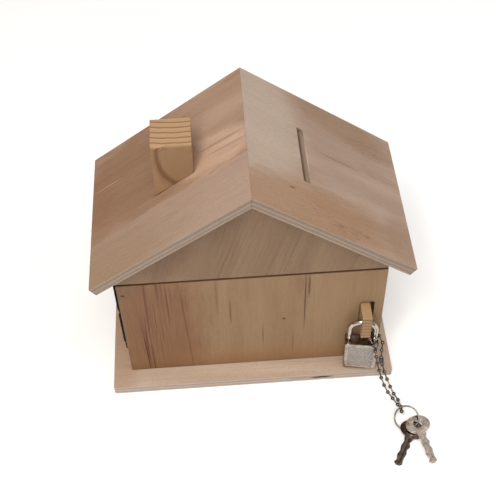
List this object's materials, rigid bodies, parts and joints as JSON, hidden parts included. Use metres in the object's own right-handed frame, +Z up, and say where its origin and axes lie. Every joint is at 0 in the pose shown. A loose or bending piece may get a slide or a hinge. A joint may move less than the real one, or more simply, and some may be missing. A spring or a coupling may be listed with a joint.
{
  "type": "wooden money box",
  "caption": "House-shaped wooden money box: plywood walls and mitred roof with a coin slot, square chimney, hinged front door on a wooden tongue with padlock, ball chain and keys.",
  "frame": {"origin": "underside of the base board, midway between the side walls and midway between the front and back edges of the base", "axes": "+Z up, -Y towards the door, +X towards the padlock side"},
  "size_m": [0.1867, 0.1583, 0.1665],
  "materials": {
    "plywood": "bare birch plywood, lightly sanded",
    "door_wood": "bare plywood face with darker streaks",
    "pine": "bare pine, end grain at the ends",
    "hinge_steel": "black lacquer, worn",
    "chrome_case": "bright plated",
    "textured_panel": "finely pebbled plate",
    "shackle_steel": "polished plating",
    "brass": "turned brass",
    "spring_steel": "drawn wire",
    "chain_nickel": "nickel plated",
    "key_nickel": "nickel plated, slightly dull"
  },
  "bodies": {
    "box": {"base_board": "plywood", "base_brads": "spring_steel", "left_wall": "plywood", "right_wall": "plywood", "back_wall": "plywood", "front_gable": "plywood", "roof_left": "plywood", "roof_right": "plywood", "chimney": "pine", "tongue_block": "pine", "lower_hinge_wall_leaf": "hinge_steel", "upper_hinge_wall_leaf": "hinge_steel", "lower_hinge_pin": "hinge_steel", "upper_hinge_pin": "hinge_steel", "hinge_wall_nails": "hinge_steel"},
    "door": {"door_panel": "door_wood", "lower_hinge_door_leaf": "hinge_steel", "upper_hinge_door_leaf": "hinge_steel", "hinge_door_nails": "hinge_steel", "lock_tongue": "pine"},
    "padlock": {"lock_case": "chrome_case", "lock_front_panel": "textured_panel", "lock_back_panel": "textured_panel", "shackle_spring": "spring_steel"},
    "shackle": {"shackle": "shackle_steel"},
    "plug": {"lock_plug": "brass"},
    "latch": {"lock_latch": "brass"},
    "chain": {"chain_beads": "chain_nickel", "chain_links": "chain_nickel", "chain_connector": "chain_nickel", "key_ring": "chain_nickel"},
    "upper_key": {"key_one": "key_nickel"},
    "lower_key": {"key_two": "key_nickel"}
  },
  "joints": [
    {"name": "door_swing", "type": "hinge", "parent": "box", "child": "door", "pos_m": [-0.0762, -0.03035, 0.045], "axis": [0, 0, -1], "range_deg": [0, 170]},
    {"name": "padlock_swing", "type": "hinge", "parent": "door", "child": "padlock", "pos_m": [0.0634, -0.0425, 0.0493], "axis": [-1, 0, 0], "range_deg": [0, 8]},
    {"name": "plug_turn", "type": "hinge", "parent": "padlock", "child": "plug", "pos_m": [0.0634, -0.0425, 0.01], "axis": [0, 0, 1], "range_deg": [0, 90]},
    {"name": "shackle_lift", "type": "slide", "parent": "padlock", "child": "shackle", "axis": [0, 0, 1], "range_m": [0, 0.004], "deforming": ["shackle_spring"]},
    {"name": "latch_slide", "type": "slide", "parent": "padlock", "child": "latch", "axis": [0.9877, -0.1564, 0], "range_m": [0, 0.0016]},
    {"name": "chain_level", "type": "hinge", "parent": "padlock", "child": "chain", "pos_m": [0.0708, -0.0437, 0.033], "axis": [-1, 0, 0], "range_deg": [-8, 0]},
    {"name": "upper_key_turn", "type": "hinge", "parent": "chain", "child": "upper_key", "pos_m": [0.0921, -0.0854, 0.0033], "axis": [0, 0, 1], "range_deg": [-4, 4]},
    {"name": "lower_key_turn", "type": "hinge", "parent": "chain", "child": "lower_key", "pos_m": [0.0891, -0.0877, 0.0017], "axis": [0, 0, 1], "range_deg": [-4, 4]}
  ],
  "couplings": [
    {"joint": "plug_turn", "follows": "shackle_lift", "rad_per_m": 392.7},
    {"joint": "latch_slide", "follows": "shackle_lift", "ratio": 0.4},
    {"joint": "chain_level", "follows": "padlock_swing", "ratio": -1}
  ]
}
